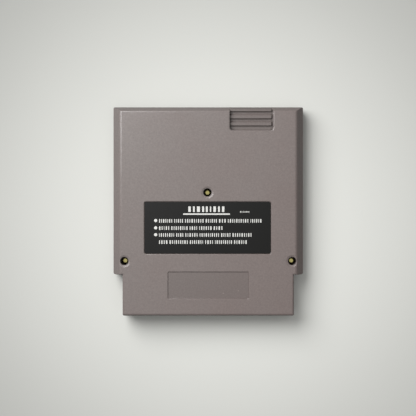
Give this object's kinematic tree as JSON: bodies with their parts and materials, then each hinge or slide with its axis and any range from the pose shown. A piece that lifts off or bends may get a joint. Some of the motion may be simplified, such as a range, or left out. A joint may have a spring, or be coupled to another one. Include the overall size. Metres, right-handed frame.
{
  "type": "game cartridge",
  "caption": "Flat moulded game cartridge: two screwed shells around a circuit board whose contact edge sits in an open mouth.",
  "frame": {"origin": "centre of the footprint on the plane that the front face lies on", "axes": "+Z out of the rear face, +Y to the grip end, -Y out of the insertion end"},
  "size_m": [0.12, 0.1314, 0.017],
  "materials": {
    "shell_plastic": "fine moulded grain, light grey",
    "label_film": "satin printed film, near black",
    "plated_screw": "yellow plated steel",
    "board_laminate": "green solder mask on glass laminate",
    "gold_contact": "gold plated",
    "chip_resin": "black moulded resin",
    "tinned_metal": "dull tinned metal",
    "capacitor_sleeve": "dark blue shrink sleeve over a metal can",
    "capacitor_dip": "dipped ochre coating",
    "resistor_coat": "beige lacquer",
    "solder": "bright solder"
  },
  "bodies": {
    "root": {"rear_shell": "shell_plastic", "front_shell": "shell_plastic", "rear_label": "label_film", "middle_screw": "plated_screw", "left_screw": "plated_screw", "right_screw": "plated_screw", "circuit_board": "board_laminate", "front_contacts": "gold_contact", "rear_contacts": "gold_contact", "program_chip": "chip_resin", "graphics_chip": "chip_resin", "lockout_chip": "chip_resin", "program_chip_pins": "tinned_metal", "graphics_chip_pins": "tinned_metal", "lockout_chip_pins": "tinned_metal", "electrolytic_leads": "tinned_metal", "ceramic_leads": "tinned_metal", "resistor_leads": "tinned_metal", "electrolytic_capacitor": "capacitor_sleeve", "ceramic_capacitors": "capacitor_dip", "resistors": "resistor_coat", "solder_joints": "solder"}
  },
  "joints": []
}
